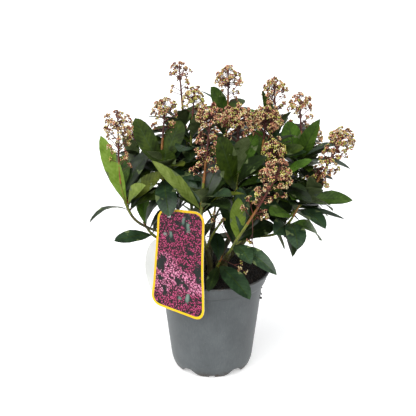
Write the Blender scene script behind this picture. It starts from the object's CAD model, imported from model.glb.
import math
import random
from collections import namedtuple

import bpy
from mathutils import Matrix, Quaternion, Vector
from mathutils.bvhtree import BVHTree


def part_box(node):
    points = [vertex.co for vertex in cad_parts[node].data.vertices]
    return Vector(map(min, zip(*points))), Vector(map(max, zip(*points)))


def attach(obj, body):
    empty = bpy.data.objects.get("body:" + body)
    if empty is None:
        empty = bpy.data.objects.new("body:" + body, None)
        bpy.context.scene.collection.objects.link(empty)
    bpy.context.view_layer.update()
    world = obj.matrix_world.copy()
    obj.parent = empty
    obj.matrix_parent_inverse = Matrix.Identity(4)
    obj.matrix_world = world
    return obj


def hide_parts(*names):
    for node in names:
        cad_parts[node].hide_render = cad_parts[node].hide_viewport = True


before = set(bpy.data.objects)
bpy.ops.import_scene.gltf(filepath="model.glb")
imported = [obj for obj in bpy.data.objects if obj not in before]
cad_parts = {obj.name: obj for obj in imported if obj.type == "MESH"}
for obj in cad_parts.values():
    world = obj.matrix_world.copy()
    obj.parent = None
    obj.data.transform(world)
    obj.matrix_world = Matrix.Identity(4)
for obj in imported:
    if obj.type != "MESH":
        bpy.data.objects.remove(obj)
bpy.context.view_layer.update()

# The pot. A thin nursery pot of grey polypropylene, injection-moulded in one piece with a bell-shaped
# collar, a rounded bottom edge and five feet round a central boss. Dust and splashed compost dull it.
MM = 0.001
UP = Vector((0.0, 0.0, 1.0))
POT_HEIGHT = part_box("pot")[1].z
POT_RIM_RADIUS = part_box("pot")[1].x
POT_WALL = 1.3 * MM
POT_FOOT_RADIUS = 46 * MM
POT_FLOOR = 13.5 * MM
POT_BOTTOM_WALL_RADIUS = 51.8 * MM
POT_WALL_SLOPE = 0.117
COLLAR_FOOT = 114 * MM
COLLAR_STEP = 4.5 * MM
CORNER_HEIGHT = 11 * MM
FLOOR_CURVE_TOP = 20 * MM
FOOT_COUNT = 5
FOOT_NOTCH_WIDTH = 30 * MM
FOOT_NOTCH_HEIGHT = 9.5 * MM
FOOT_NOTCH_SLANT = 11 * MM
DRAIN_SLOT_WIDTH = 8 * MM
DRAIN_SLOT_HEIGHT = 3.6 * MM
DRAIN_SLOT_SLANT = 1.2 * MM
NOTCH_INNER_RADIUS = 27 * MM
BOSS_RADIUS = 10 * MM
UNDERSIDE_HEIGHT = 11.7 * MM
FOOT_DEPTH = 8 * MM
POT_SIDES = 240


def linear(code, alpha=1.0):
    """The linear colour of an sRGB hex code."""
    parts = [int(code[i : i + 2], 16) / 255 for i in (1, 3, 5)]
    return (*[p / 12.92 if p <= 0.04045 else ((p + 0.055) / 1.055) ** 2.4 for p in parts], alpha)


def node(tree, kind, inputs=None, stops=None, **settings):
    """Adds a node with its settings. An input takes a value or another node's output, and stops are
    the (place, hex colour) pairs of a colour ramp."""
    made = tree.nodes.new(kind)
    for name, value in settings.items():
        setattr(made, name, value)
    for socket, value in (inputs or {}).items():
        if isinstance(value, bpy.types.Node):
            value = next(o for o in value.outputs if o.enabled)
        if isinstance(value, bpy.types.NodeSocket):
            tree.links.new(value, made.inputs[socket])
        else:
            made.inputs[socket].default_value = value
    for place, code in stops or ():
        ramp = made.color_ramp.elements
        if place == stops[0][0]:
            element = ramp[0]
        elif place == stops[-1][0]:
            element = ramp[-1]
        else:
            element = ramp.new(place)
        element.position = place
        element.color = linear(code)
    return made


def new_material(name):
    """A material with its node tree and its Principled shader."""
    material = bpy.data.materials.new(name)
    material.use_nodes = True
    return material, material.node_tree, material.node_tree.nodes["Principled BSDF"]


def set_up(shader, **values):
    """Sets the shader's own sockets, named in lower case with underscores, or joins nodes to them."""
    tree = shader.id_data
    for name, value in values.items():
        socket = shader.inputs[name.replace("_", " ").title().replace("Ior", "IOR")]
        if isinstance(value, bpy.types.Node):
            tree.links.new(next(o for o in value.outputs if o.enabled), socket)
        else:
            socket.default_value = value


def mesh_object(name, points, faces, materials=(), edges=()):
    mesh = bpy.data.meshes.new(name)
    mesh.from_pydata([tuple(p) for p in points], edges, faces)
    for material in materials:
        mesh.materials.append(material)
    obj = bpy.data.objects.new(name, mesh)
    bpy.context.scene.collection.objects.link(obj)
    return obj


def fit(obj, slot, *cad_nodes):
    """The piece rides on the plant's one body, takes its finish from the slot and stands for the nodes."""
    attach(obj, "root")
    if cad_nodes:
        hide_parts(*cad_nodes)


def turned(profile, sides):
    """Points and faces of an outline of (radius, height) turned about the Z axis, from axis to axis."""
    points, rings = [], []
    for radius, height in profile:
        count = sides if radius else 1
        first = len(points)
        for k in range(count):
            angle = 2 * math.pi * k / sides
            points.append(Vector((radius * math.sin(angle), -radius * math.cos(angle), height)))
        rings.append([first + k % count for k in range(sides)])
    faces = []
    for low, high in zip(rings, rings[1:]):
        for k in range(sides):
            n = (k + 1) % sides
            face = [low[k], low[n], high[n], high[k]]
            faces.append([p for i, p in enumerate(face) if p != face[i - 1]])
    return points, faces


def wall_radius(height):
    """The wall's outer radius at a height, below the collar."""
    return POT_BOTTOM_WALL_RADIUS + POT_WALL_SLOPE * height


def rounded(corners, steps=4):
    """The outline with each (radius, height, rounding) corner drawn as a short curve."""
    points = []
    for i, (radius, height, rounding) in enumerate(corners):
        here = Vector((radius, height))
        if not rounding or i in (0, len(corners) - 1):
            points.append(here)
            continue
        before = Vector(corners[i - 1][:2]) - here
        after = Vector(corners[i + 1][:2]) - here
        start = here + before.normalized() * min(rounding, before.length * 0.45)
        end = here + after.normalized() * min(rounding, after.length * 0.45)
        for k in range(steps + 1):
            t = k / steps
            points.append(start * (1 - t) ** 2 + here * 2 * t * (1 - t) + end * t**2)
    return points


def pot_outline():
    """The pot's section, from the axis under the boss, round the rim and back to the axis."""
    foot_inside = POT_FOOT_RADIUS - FOOT_DEPTH
    crease = COLLAR_FOOT + 1.5 * MM
    collar_radius = POT_RIM_RADIUS - 1.2 * MM
    corners = [
        (0, 0, 0),
        (BOSS_RADIUS, 0, 1 * MM),
        (BOSS_RADIUS + 1 * MM, UNDERSIDE_HEIGHT, 1 * MM),
        (foot_inside - 1 * MM, UNDERSIDE_HEIGHT, 1 * MM),
        (foot_inside, 0, 1 * MM),
        (POT_FOOT_RADIUS, 0, 0.4 * MM),
        (POT_FOOT_RADIUS + 1.8 * MM, 0.9 * MM, 0.9 * MM),
        (POT_FOOT_RADIUS + 3.7 * MM, 3 * MM, 1.5 * MM),
        (POT_FOOT_RADIUS + 5.2 * MM, 6.4 * MM, 2 * MM),
        (wall_radius(CORNER_HEIGHT) - 0.4 * MM, CORNER_HEIGHT, 2.5 * MM),
        (wall_radius(CORNER_HEIGHT + 6 * MM), CORNER_HEIGHT + 6 * MM, 3 * MM),
        (wall_radius(crease), crease, 1 * MM),
        (wall_radius(crease) + COLLAR_STEP - 1 * MM, crease + 2.6 * MM, 2 * MM),
        (collar_radius, POT_HEIGHT - 3 * MM, 0.8 * MM),
        (POT_RIM_RADIUS, POT_HEIGHT - 2.2 * MM, 0.8 * MM),
        (POT_RIM_RADIUS, POT_HEIGHT, 1.2 * MM),
        (POT_RIM_RADIUS - 2.2 * MM, POT_HEIGHT, 0.8 * MM),
        (collar_radius - POT_WALL, POT_HEIGHT - 3 * MM, 1 * MM),
        (wall_radius(crease) + COLLAR_STEP - 1 * MM - POT_WALL, crease + 4 * MM, 1 * MM),
        (wall_radius(crease) - POT_WALL, crease + 1 * MM, 1 * MM),
        (wall_radius(FLOOR_CURVE_TOP) - POT_WALL, FLOOR_CURVE_TOP, 2 * MM),
        (wall_radius(FLOOR_CURVE_TOP) - POT_WALL - 2 * MM, POT_FLOOR + 1.7 * MM, 1.5 * MM),
        (POT_FOOT_RADIUS, POT_FLOOR, 1 * MM),
        (0, POT_FLOOR, 0),
    ]
    return rounded(corners)


def foot_lift(point):
    """How high a point near the ground is pushed up by the notches between the feet and the drain
    slots in their middles."""
    turn = math.atan2(point.x, -point.y)
    radius = math.hypot(point.x, point.y)
    if radius < NOTCH_INNER_RADIUS:
        return 0.0
    step = 2 * math.pi / FOOT_COUNT
    lift = 0.0
    notch = (FOOT_NOTCH_WIDTH, FOOT_NOTCH_HEIGHT, 0.5, FOOT_NOTCH_SLANT)
    slot = (DRAIN_SLOT_WIDTH, DRAIN_SLOT_HEIGHT, 0.0, DRAIN_SLOT_SLANT)
    for width, height, offset, slant in (notch, slot):
        away = abs(math.remainder(turn / step - offset, 1.0)) * step * radius
        inside = min(1.0, max(0.0, (width / 2 - away) / slant))
        lift = max(lift, height * inside)
    return lift


def pot_plastic():
    """Grey polypropylene: a satin skin off a spark-eroded mould, brighter at the rubbed rim, with
    faint runs down the wall where water has dried and brown compost dust low down and at the lip."""
    material, tree, shader = new_material("moulded_grey_polypropylene")
    place = node(tree, "ShaderNodeTexCoord").outputs["Object"]
    runs = node(tree, "ShaderNodeMapping", {"Vector": place, "Scale": (1.0, 1.0, 0.25)})
    streaks = node(tree, "ShaderNodeTexNoise", {"Vector": runs, "Scale": 600.0, "Detail": 3.0})
    cloud = node(tree, "ShaderNodeTexNoise",
                 {"Vector": place, "Scale": 26.0, "Detail": 5.0, "Roughness": 0.55})
    film = node(tree, "ShaderNodeMath", {0: streaks, 1: 0.35, 2: cloud}, operation="MULTIPLY_ADD")
    grey = node(tree, "ShaderNodeValToRGB", {"Fac": film},
                stops=[(0.45, "#494e50"), (0.66, "#565b5d"), (0.88, "#63686a")])
    dust = node(tree, "ShaderNodeTexVoronoi", {"Vector": place, "Scale": 260.0}, feature="F1")
    speck = node(tree, "ShaderNodeMapRange", {0: dust.outputs["Distance"], 1: 0.13, 2: 0.06, 3: 0.0, 4: 0.45})
    grey = node(tree, "ShaderNodeMix", {0: speck, 6: grey, 7: linear("#8d9190")}, data_type="RGBA")
    height = node(tree, "ShaderNodeSeparateXYZ", {0: place}).outputs["Z"]
    low = node(tree, "ShaderNodeMapRange", {0: height, 1: 0.020, 2: 0.002})
    lip = node(tree, "ShaderNodeMapRange", {0: height, 1: 0.126, 2: 0.136})
    reach = node(tree, "ShaderNodeMath", {0: low, 1: lip}, operation="MAXIMUM")
    specks = node(tree, "ShaderNodeTexNoise",
                  {"Vector": place, "Scale": 140.0, "Detail": 6.0, "Roughness": 0.7})
    dirt = node(tree, "ShaderNodeMath", {0: specks, 1: reach}, operation="MULTIPLY")
    smear = node(tree, "ShaderNodeMapRange", {0: dirt, 1: 0.30, 2: 0.52})
    mixed = node(tree, "ShaderNodeMix", {0: smear, 6: grey, 7: linear("#3a3128")}, data_type="RGBA")
    dull = node(tree, "ShaderNodeMapRange", {0: film, 1: 0.45, 2: 0.9, 3: 0.40, 4: 0.54})
    grain = node(tree, "ShaderNodeTexNoise", {"Vector": place, "Scale": 1400.0, "Detail": 2.0})
    bump = node(tree, "ShaderNodeBump", {"Height": grain, "Strength": 0.12, "Distance": 0.0002})
    set_up(shader, base_color=mixed, roughness=dull, normal=bump, ior=1.49)
    return material


points, faces = turned(pot_outline(), POT_SIDES)
for point in points:
    if point.z < POT_FLOOR - 1 * MM:
        point.z = max(point.z, foot_lift(point))
pot = mesh_object("pot_shell", points, faces, [pot_plastic()])
pot.data.shade_smooth()
pot.data.set_sharp_from_angle(angle=math.radians(50))
fit(pot, "pot_plastic", "pot")

# The compost. Dark peat and bark crumbs that fill the pot to just under its lip, a little mounded
# round the stems. It lies loose, and a few crumbs cling to the outside of the collar at the right.
COMPOST_EDGE_HEIGHT = 127 * MM
COMPOST_CROWN_HEIGHT = 131 * MM
COMPOST_CROWN_RADIUS = 27 * MM
COMPOST_EDGE_RADIUS = wall_radius(COLLAR_FOOT) + COLLAR_STEP - POT_WALL - 0.6 * MM
COMPOST_SIDES = 96
COMPOST_RELIEF = 5 * MM
CRUMB_SIZE = 1.5 * MM
CRUMBS_PER_SQUARE_METRE = 130000.0
PEAT_PLACES = (0.35, 0.55, 0.72)
PEAT_NOISE = {"Scale": 420.0, "Detail": 6.0, "Roughness": 0.7}
PEAT_RELIEF = 1 * MM
# The clinging crumbs' bearing from the front towards the right, height and size, in degrees and mm.
STUCK_CRUMBS = (
    (88, 106, 1.1),
    (84, 99, 1.4),
    (80, 95.5, 1.9),
    (93, 96.5, 1.0),
    (74, 101.5, 0.7),
    (97, 111, 0.6),
)


def new_tree(name, sizes):
    """A Geometry Nodes tree with named inputs of (name, socket kind), and those inputs' sockets."""
    tree = bpy.data.node_groups.new(name, "GeometryNodeTree")
    tree.interface.new_socket("Geometry", in_out="INPUT", socket_type="NodeSocketGeometry")
    for label, kind in sizes:
        tree.interface.new_socket(label, in_out="INPUT", socket_type="NodeSocket" + kind)
    tree.interface.new_socket("Geometry", in_out="OUTPUT", socket_type="NodeSocketGeometry")
    return tree, tree.nodes.new("NodeGroupInput").outputs


def close_tree(tree, geometry):
    """Joins the geometry to the tree's output."""
    node(tree, "NodeGroupOutput", {0: geometry})


def grow(obj, tree, sizes):
    """Runs the tree on the object with its inputs set, and keeps the result as a plain mesh."""
    modifier = obj.modifiers.new("Grow", "NODES")
    modifier.node_group = tree
    for item in tree.interface.items_tree:
        if item.in_out == "INPUT" and item.name in sizes:
            modifier[item.identifier] = sizes[item.name]
    graph = bpy.context.evaluated_depsgraph_get()
    mesh = bpy.data.meshes.new_from_object(obj.evaluated_get(graph))
    obj.modifiers.clear()
    obj.data = mesh


def mottled(name, tones, places, noise, relief=0.0, **finish):
    """A material whose tones, at their places, follow a fine noise that can also roughen it."""
    material, tree, shader = new_material(name)
    place = node(tree, "ShaderNodeTexCoord").outputs["Object"]
    grains = node(tree, "ShaderNodeTexNoise", {"Vector": place, **noise})
    tone = node(tree, "ShaderNodeValToRGB", {"Fac": grains}, stops=list(zip(places, tones)))
    set_up(shader, base_color=tone, **finish)
    if relief:
        bump = node(tree, "ShaderNodeBump", {"Height": grains, "Strength": 0.8, "Distance": relief})
        set_up(shader, normal=bump)
    return material


# Moist peat is nearly black, with browner fibres and no shine but a faint damp glint.
peat = mottled("moist_black_peat", ("#0b0908", "#1b1511", "#33261c"), PEAT_PLACES, PEAT_NOISE, PEAT_RELIEF,
               roughness=0.85)
bark_crumb = mottled("composted_bark_crumb", ("#1c130d", "#35241a", "#50392a"), PEAT_PLACES, PEAT_NOISE,
                     PEAT_RELIEF, roughness=0.8)
outline = [
    (0, POT_FLOOR + 0.4 * MM),
    (POT_FOOT_RADIUS - 0.4 * MM, POT_FLOOR + 0.4 * MM),
    (wall_radius(FLOOR_CURVE_TOP) - POT_WALL - 2.4 * MM, POT_FLOOR + 2.3 * MM),
    (wall_radius(FLOOR_CURVE_TOP) - POT_WALL - 0.4 * MM, FLOOR_CURVE_TOP + 0.5 * MM),
    (wall_radius(COLLAR_FOOT) - POT_WALL - 0.5 * MM, COLLAR_FOOT + 1.4 * MM),
    (COMPOST_EDGE_RADIUS - 0.5 * MM, COLLAR_FOOT + 6.5 * MM),
]
edge_steps = 26
for k in range(edge_steps):
    share = k / edge_steps
    radius = COMPOST_EDGE_RADIUS * (1 - share)
    mound = 1 - max(0.0, (radius - COMPOST_CROWN_RADIUS) / (COMPOST_EDGE_RADIUS - COMPOST_CROWN_RADIUS))
    outline.append((radius, COMPOST_EDGE_HEIGHT + (COMPOST_CROWN_HEIGHT - COMPOST_EDGE_HEIGHT) * mound))
outline.append((0, COMPOST_CROWN_HEIGHT))
compost = mesh_object("compost_bed", *turned(outline, COMPOST_SIDES), [peat])
crumb_points = []
shake = random.Random("crumb")
phi = (1 + math.sqrt(5)) / 2
for a, b in ((1, phi), (-1, phi), (1, -phi), (-1, -phi)):
    crumb_points += [Vector((0, a, b)), Vector((a, b, 0)), Vector((b, 0, a))]
crumb_points = [p.normalized() * shake.uniform(0.7, 1.2) for p in crumb_points]
crumb_faces = []
# A crumb is a shaken icosahedron: each face joins three corners that stand nearest one another.
for i in range(12):
    for j in range(i + 1, 12):
        for k in range(j + 1, 12):
            corners = [crumb_points[n].normalized() for n in (i, j, k)]
            if max((corners[m] - corners[m - 1]).length for m in range(3)) < 1.1:
                outwards = (corners[1] - corners[0]).cross(corners[2] - corners[0]).dot(corners[0]) > 0
                crumb_faces.append((i, j, k) if outwards else (i, k, j))
crumb = mesh_object("crumb", crumb_points, crumb_faces)

crumb_inputs = [("Crumb", "Object"), ("Size", "Float"), ("Relief", "Float"), ("Seed", "Int")]
tree, inputs = new_tree("Crumbs", crumb_inputs)
height = node(tree, "ShaderNodeSeparateXYZ", {0: node(tree, "GeometryNodeInputPosition")}).outputs["Z"]
is_top = node(tree, "FunctionNodeCompare", {0: height, 1: COMPOST_EDGE_HEIGHT - 0.5 * MM},
              operation="GREATER_THAN")
coarse = node(tree, "ShaderNodeTexNoise", {"Scale": 95.0, "Detail": 5.0, "Roughness": 0.65})
centred = node(tree, "ShaderNodeMath", {0: coarse, 1: 0.5}, operation="SUBTRACT")
heave = node(tree, "ShaderNodeMath", {0: centred, 1: inputs["Relief"]}, operation="MULTIPLY")
heave = node(tree, "ShaderNodeCombineXYZ", {2: heave})
bed = node(tree, "GeometryNodeSetPosition", {"Geometry": inputs[0], "Selection": is_top, "Offset": heave})
spots = node(tree, "GeometryNodeDistributePointsOnFaces",
             {"Mesh": bed, "Selection": is_top, "Density": CRUMBS_PER_SQUARE_METRE, "Seed": inputs["Seed"]})
info = node(tree, "GeometryNodeObjectInfo", {0: inputs["Crumb"]}).outputs["Geometry"]
turn = node(tree, "FunctionNodeRandomValue", {0: (0.0, 0.0, 0.0), 1: (6.3, 6.3, 6.3), "Seed": 3},
            data_type="FLOAT_VECTOR")
size = node(tree, "FunctionNodeRandomValue", {2: 0.25, 3: 1.5, "Seed": 5}, data_type="FLOAT")
size = node(tree, "ShaderNodeMath", {0: size, 1: inputs["Size"]}, operation="MULTIPLY")
crumbs = node(tree, "GeometryNodeInstanceOnPoints",
              {"Points": spots, "Instance": info, "Rotation": turn, "Scale": size})
crumbs = node(tree, "GeometryNodeRealizeInstances", {0: crumbs})
crumbs = node(tree, "GeometryNodeSetMaterial", {0: crumbs, "Material": peat})
pick = node(tree, "FunctionNodeRandomValue", {"Probability": 0.2, "Seed": 8}, data_type="BOOLEAN")
brown = node(tree, "GeometryNodeSetMaterial", {0: crumbs, "Selection": pick, "Material": bark_crumb})
joined = node(tree, "GeometryNodeJoinGeometry", {0: bed})
tree.links.new(brown.outputs[0], joined.inputs[0])
close_tree(tree, joined)
grow(compost, tree, {"Crumb": crumb, "Size": CRUMB_SIZE, "Relief": COMPOST_RELIEF, "Seed": 4})
bpy.data.objects.remove(crumb)
fit(compost, "compost", "compost")
points, faces = [], []
for bearing, height, size in STUCK_CRUMBS:
    angle = math.radians(bearing)
    radius = wall_radius(height * MM) + size * 0.5 * MM
    middle = Vector((math.sin(angle) * radius, -math.cos(angle) * radius, height * MM))
    first = len(points)
    points += [middle + p * size * MM for p in crumb_points]
    faces += [[first + n for n in face] for face in crumb_faces]
fit(mesh_object("crumbs_on_wall", points, faces, [peat]), "compost")

# Stems and boughs. Evergreen wood, bronze-brown and finely ridged at the foot, then smooth olive-green
# with the ringed scars of old leaves. Each stem forks near the pot, and each bough carries one whorl.
STEM_FOOT_RADIUS = 4.0 * MM
STEM_TIP_RADIUS = 3.3 * MM
BOUGH_FOOT_RADIUS = 1.45 * MM
BOUGH_TIP_RADIUS = 1.9 * MM
SHOOT_TIP_RADIUS = 1.0 * MM
GAP = 0.35 * MM
FORK_SPACING = 1.95 * MM
# How many points the solids' limbs have, and how many the finer ones here are drawn through.
LIMB_POINTS = 6
FINE_LIMB_POINTS = 60
RING_STEP = 1.6 * MM
# Every sixth ring is a leaf scar, which swells the limb by a share of its radius.
SCAR_RINGS = 6
SCAR_SWELL = 0.09
FOOT_FLARE = 1.3
FLARED_RINGS = 4
BARK_RIDGE = 0.5 * MM

# Where each main stem stands on the compost and where it forks, in mm, as in the solids.
STEMS = {
    "stem_left": ((-13, -4), (-30, -10, 168)),
    "stem_front": ((-2, -13), (-7, -34, 172)),
    "stem_right_front": ((10, -11), (20, -36, 166)),
    "stem_right": ((15, 1), (40, -8, 172)),
    "stem_back_right": ((9, 12), (32, 26, 182)),
    "stem_back": ((-3, 14), (2, 40, 185)),
    "stem_back_left": ((-13, 9), (-24, 26, 180)),
}

Shoot = namedtuple("Shoot", "name stem whorl tip head spread leaves length lift turn")

# One row for each shoot, in mm and degrees, as in the solids: where its whorl starts, where its tip
# is, the length of its bud head and the head's half-width, the number of leaves, their length, their
# angle from the shoot and the whorl's starting turn.
SHOOTS = [
    Shoot("left_front", "stem_left", (-100, -30, 216), (-111, -40, 344), 76, 22, 12, 76, 58, 0),
    Shoot("left_mid", "stem_left", (-61, -5, 250), (-57, 5, 352), 50, 19, 11, 70, 48, 40),
    Shoot("tall_left", "stem_back_left", (-34, 48, 288), (-42, 58, 390), 50, 18, 10, 62, 50, 10),
    Shoot("inner_left", "stem_back_left", (-27, 13, 278), (-22, 20, 362), 38, 17, 9, 62, 50, 80),
    Shoot("top_back", "stem_back", (19, 50, 308), (21, 60, 382), 46, 22, 9, 58, 44, 30),
    Shoot("centre_front", "stem_front", (-13, -70, 224), (-1, -62, 357), 96, 21, 10, 76, 56, 15),
    Shoot("centre", "stem_front", (27, -45, 244), (29, -40, 351), 52, 23, 11, 72, 42, 60),
    Shoot("right_front", "stem_right_front", (23, -75, 188), (78, -108, 302), 88, 24, 9, 74, 66, 20),
    Shoot("inner_right", "stem_right_front", (80, -46, 246), (68, -52, 312), 34, 18, 8, 62, 58, 75),
    Shoot("right_low", "stem_right", (84, -60, 206), (101, -72, 240), 0, 0, 9, 74, 66, 35),
    Shoot("right_outer", "stem_right", (97, -33, 216), (160, -25, 321), 92, 20, 11, 74, 62, 50),
    Shoot("centre_right", "stem_right", (56, -18, 260), (65, -20, 346), 46, 24, 9, 64, 50, 25),
    Shoot("right_top", "stem_back_right", (106, 10, 258), (108, 20, 356), 52, 19, 10, 68, 44, 65),
    Shoot("back_right", "stem_back_right", (80, 42, 282), (78, 50, 371), 56, 20, 10, 60, 48, 5),
    Shoot("far_right", "stem_back_right", (112, 62, 226), (134, 80, 305), 44, 20, 10, 72, 58, 45),
    Shoot("back_left", "stem_back_left", (-88, 58, 226), (-104, 72, 308), 46, 20, 10, 72, 56, 70),
    Shoot("rear_left", "stem_back", (-40, 94, 230), (-50, 120, 304), 44, 20, 10, 72, 56, 20),
    Shoot("rear_right", "stem_back", (42, 96, 234), (52, 120, 306), 44, 20, 10, 72, 56, 55),
    Shoot("low_left", "stem_left", (-72, -17, 182), (-86, -20, 202), 0, 0, 6, 62, 70, 30),
    Shoot("low_front", "", (6, -31, 145), (12, -44, 166), 0, 0, 3, 62, 76, 10),
    Shoot("low_back", "", (-8, 30, 150), (-14, 52, 176), 0, 0, 7, 70, 70, 25),
]


def bezier(a, b, c, d, share):
    """A point of the curve from a to d that sets off towards b and comes in from c."""
    rest = 1 - share
    return a * rest**3 + b * 3 * rest**2 * share + c * 3 * rest * share**2 + d * share**3


def stem_path(name):
    """The stem's centreline, from just over the compost up to its fork."""
    foot, fork = STEMS[name]
    start = Vector((foot[0] * MM, foot[1] * MM, COMPOST_CROWN_HEIGHT + GAP))
    end = Vector(fork) * MM
    leaving = start + UP * (end - start).length * 0.35
    entering = end - (end - start) * 0.3 - UP * 2 * MM
    return [
        bezier(start, leaving, entering, end, k / (LIMB_POINTS - 1))
        for k in range(LIMB_POINTS)
    ]


def bough_start(shoot, place):
    """Where the shoot's bough leaves its stem's tip, or the compost, and the way it sets off."""
    if not shoot.stem:
        whorl = Vector(shoot.whorl) * MM
        return Vector((whorl.x * 0.55, whorl.y * 0.75, COMPOST_CROWN_HEIGHT + GAP)), UP
    path = stem_path(shoot.stem)
    along = (path[-1] - path[-2]).normalized()
    return path[-1] + along * GAP + place, along


def fork_places(name):
    """A place on the stem's tip for each of its boughs, on the side that the bough grows to."""
    path = stem_path(name)
    along = (path[-1] - path[-2]).normalized()
    side = along.orthogonal().normalized()
    other = along.cross(side)
    members = [s for s in SHOOTS if s.stem == name]
    bearings = {}
    for shoot in members:
        aim = Vector(shoot.whorl) * MM - path[-1]
        bearings[shoot.name] = math.atan2(aim.dot(other), aim.dot(side))
    order = sorted(members, key=lambda s: bearings[s.name])
    first = bearings[order[0].name]
    step = 2 * math.pi / len(order)
    turns = [bearings[s.name] - first - i * step for i, s in enumerate(order)]
    drift = sum(math.remainder(turn, 2 * math.pi) for turn in turns)
    places = {}
    for i, shoot in enumerate(order):
        angle = first + i * step + drift / len(order)
        places[shoot.name] = (side * math.cos(angle) + other * math.sin(angle)) * FORK_SPACING
    return places


def shoot_paths(shoot, place, count):
    """The path of the bough from the fork to the whorl, and of the shoot from the whorl to its tip."""
    start, leaving = bough_start(shoot, place)
    whorl, tip = Vector(shoot.whorl) * MM, Vector(shoot.tip) * MM
    rise, reach = (tip - whorl).length, (whorl - start).length
    through = ((tip - whorl).normalized() * 0.75 + (whorl - start).normalized() * 0.5).normalized()
    spread = ((whorl - start).normalized() * 0.5 + leaving * 0.5).normalized()
    ending = ((tip - whorl).normalized() + UP * 0.3).normalized()
    low_end = whorl - through * GAP
    bough = (start, start + spread * reach / 3, low_end - through * reach / 3, low_end)
    axis = (whorl, whorl + through * rise / 3, tip - ending * rise / 3, tip)
    return [[bezier(*line, k / (count - 1)) for k in range(count)] for line in (bough, axis)]


def along_path(path, share):
    """The point and direction at a share of the path's length."""
    place = min(0.9999, max(0.0, share)) * (len(path) - 1)
    i = int(place)
    step = path[i + 1] - path[i]
    return path[i] + step * (place - i), step.normalized()


def path_length(path):
    return sum((b - a).length for a, b in zip(path, path[1:]))


def store(obj, name, kind, values, domain="POINT"):
    """Writes a named attribute of the object's mesh."""
    field = "value"
    if kind == "FLOAT_VECTOR":
        field, values = "vector", [c for value in values for c in value]
    obj.data.attributes.new(name, kind, domain).data.foreach_set(field, values)


class Lines:
    """Limbs to be grown as tubes: their centrelines, with a radius and a kind at each point."""

    def __init__(self):
        self.points, self.edges, self.radii, self.kinds = [], [], [], []

    def add(self, path, radii, kinds):
        first = len(self.points)
        self.points += path
        self.radii += radii
        self.kinds += kinds
        self.edges += [(first + i, first + i + 1) for i in range(len(path) - 1)]

    def to_object(self, name):
        obj = mesh_object(name, self.points, [], edges=self.edges)
        store(obj, "thickness", "FLOAT", self.radii)
        store(obj, "kind", "INT", self.kinds)
        return obj


def dress(tree, shape, attribute, materials, first=0, where=True):
    """Gives every face the material whose number the named attribute holds, counted from first."""
    kind = node(tree, "GeometryNodeInputNamedAttribute", {"Name": attribute}, data_type="INT")
    for number, material in enumerate(materials, first):
        same = node(tree, "FunctionNodeCompare", {2: kind, 3: number}, data_type="INT", operation="EQUAL")
        chosen = node(tree, "FunctionNodeBooleanMath", {0: same, 1: where}, operation="AND")
        shape = node(tree, "GeometryNodeSetMaterial", {0: shape, "Selection": chosen, "Material": material})
    return shape


def tube_tree(name, materials):
    """A tree that sweeps a round section along each line and roughens it. A tube takes the material
    of its kind."""
    tree, inputs = new_tree(name, [("Sides", "Int"), ("Ridge height", "Float"), ("Ridge scale", "Float")])
    curve = node(tree, "GeometryNodeMeshToCurve", {0: inputs[0]})
    radius = node(tree, "GeometryNodeInputNamedAttribute", {"Name": "thickness"}, data_type="FLOAT")
    section = node(tree, "GeometryNodeCurvePrimitiveCircle", {"Resolution": inputs["Sides"], "Radius": 1.0})
    tube = node(tree, "GeometryNodeCurveToMesh",
                {"Curve": curve, "Profile Curve": section, "Scale": radius, "Fill Caps": True})
    ridges = node(tree, "ShaderNodeTexNoise", {"Scale": inputs["Ridge scale"], "Detail": 3.0})
    centred = node(tree, "ShaderNodeMath", {0: ridges, 1: 0.5}, operation="SUBTRACT")
    height = node(tree, "ShaderNodeMath", {0: centred, 1: inputs["Ridge height"]}, operation="MULTIPLY")
    offset = node(tree, "ShaderNodeVectorMath", {0: node(tree, "GeometryNodeInputNormal"), "Scale": height},
                  operation="SCALE")
    shape = node(tree, "GeometryNodeSetPosition", {"Geometry": tube, "Offset": offset})
    shape = node(tree, "GeometryNodeSetShadeSmooth", {0: shape})
    shape = dress(tree, shape, "kind", materials)
    close_tree(tree, node(tree, "GeometryNodeRealizeInstances", {0: shape}))
    return tree


def rind(name, colours, roughness, ring_depth):
    """Living bark: a thin waxy rind in a narrow run of colours, with fine lengthwise streaks and the
    raised rings of old leaf scars about 9 mm apart."""
    material, tree, shader = new_material(name)
    place = node(tree, "ShaderNodeTexCoord").outputs["Object"]
    drawn = node(tree, "ShaderNodeMapping", {"Vector": place, "Scale": (1.0, 1.0, 0.22)})
    streaks = node(tree, "ShaderNodeTexNoise", {"Vector": drawn, "Scale": 700.0, "Detail": 4.0})
    patches = node(tree, "ShaderNodeTexNoise", {"Vector": place, "Scale": 60.0, "Detail": 3.0})
    both = node(tree, "ShaderNodeMath", {0: streaks, 1: patches}, operation="ADD")
    half = node(tree, "ShaderNodeMath", {0: both, 1: 0.5}, operation="MULTIPLY")
    tone = node(tree, "ShaderNodeValToRGB", {"Fac": half}, stops=list(zip((0.38, 0.5, 0.64), colours)))
    scars = node(tree, "ShaderNodeTexWave",
                 {"Vector": place, "Scale": 18.0, "Distortion": 1.5, "Detail": 2.0}, bands_direction="Z")
    relief = node(tree, "ShaderNodeMath", {0: scars, 1: ring_depth, 2: streaks}, operation="MULTIPLY_ADD")
    bump = node(tree, "ShaderNodeBump", {"Height": relief, "Strength": 0.5, "Distance": 0.0004})
    set_up(shader, base_color=tone, roughness=roughness, normal=bump)
    return material


limb_materials = [
    rind("olive_brown_bark", ("#33301a", "#4c4a26", "#6a6335"), 0.62, 0.3),
    rind("olive_green_rind", ("#4a5218", "#6b7322", "#8b8f34"), 0.48, 0.4),
    rind("orange_brown_rind", ("#5f3414", "#8a5526", "#a87a35"), 0.5, 0.2),
    rind("maroon_flower_stalk", ("#381512", "#57261f", "#743a2c"), 0.55, 0.1),
]


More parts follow.
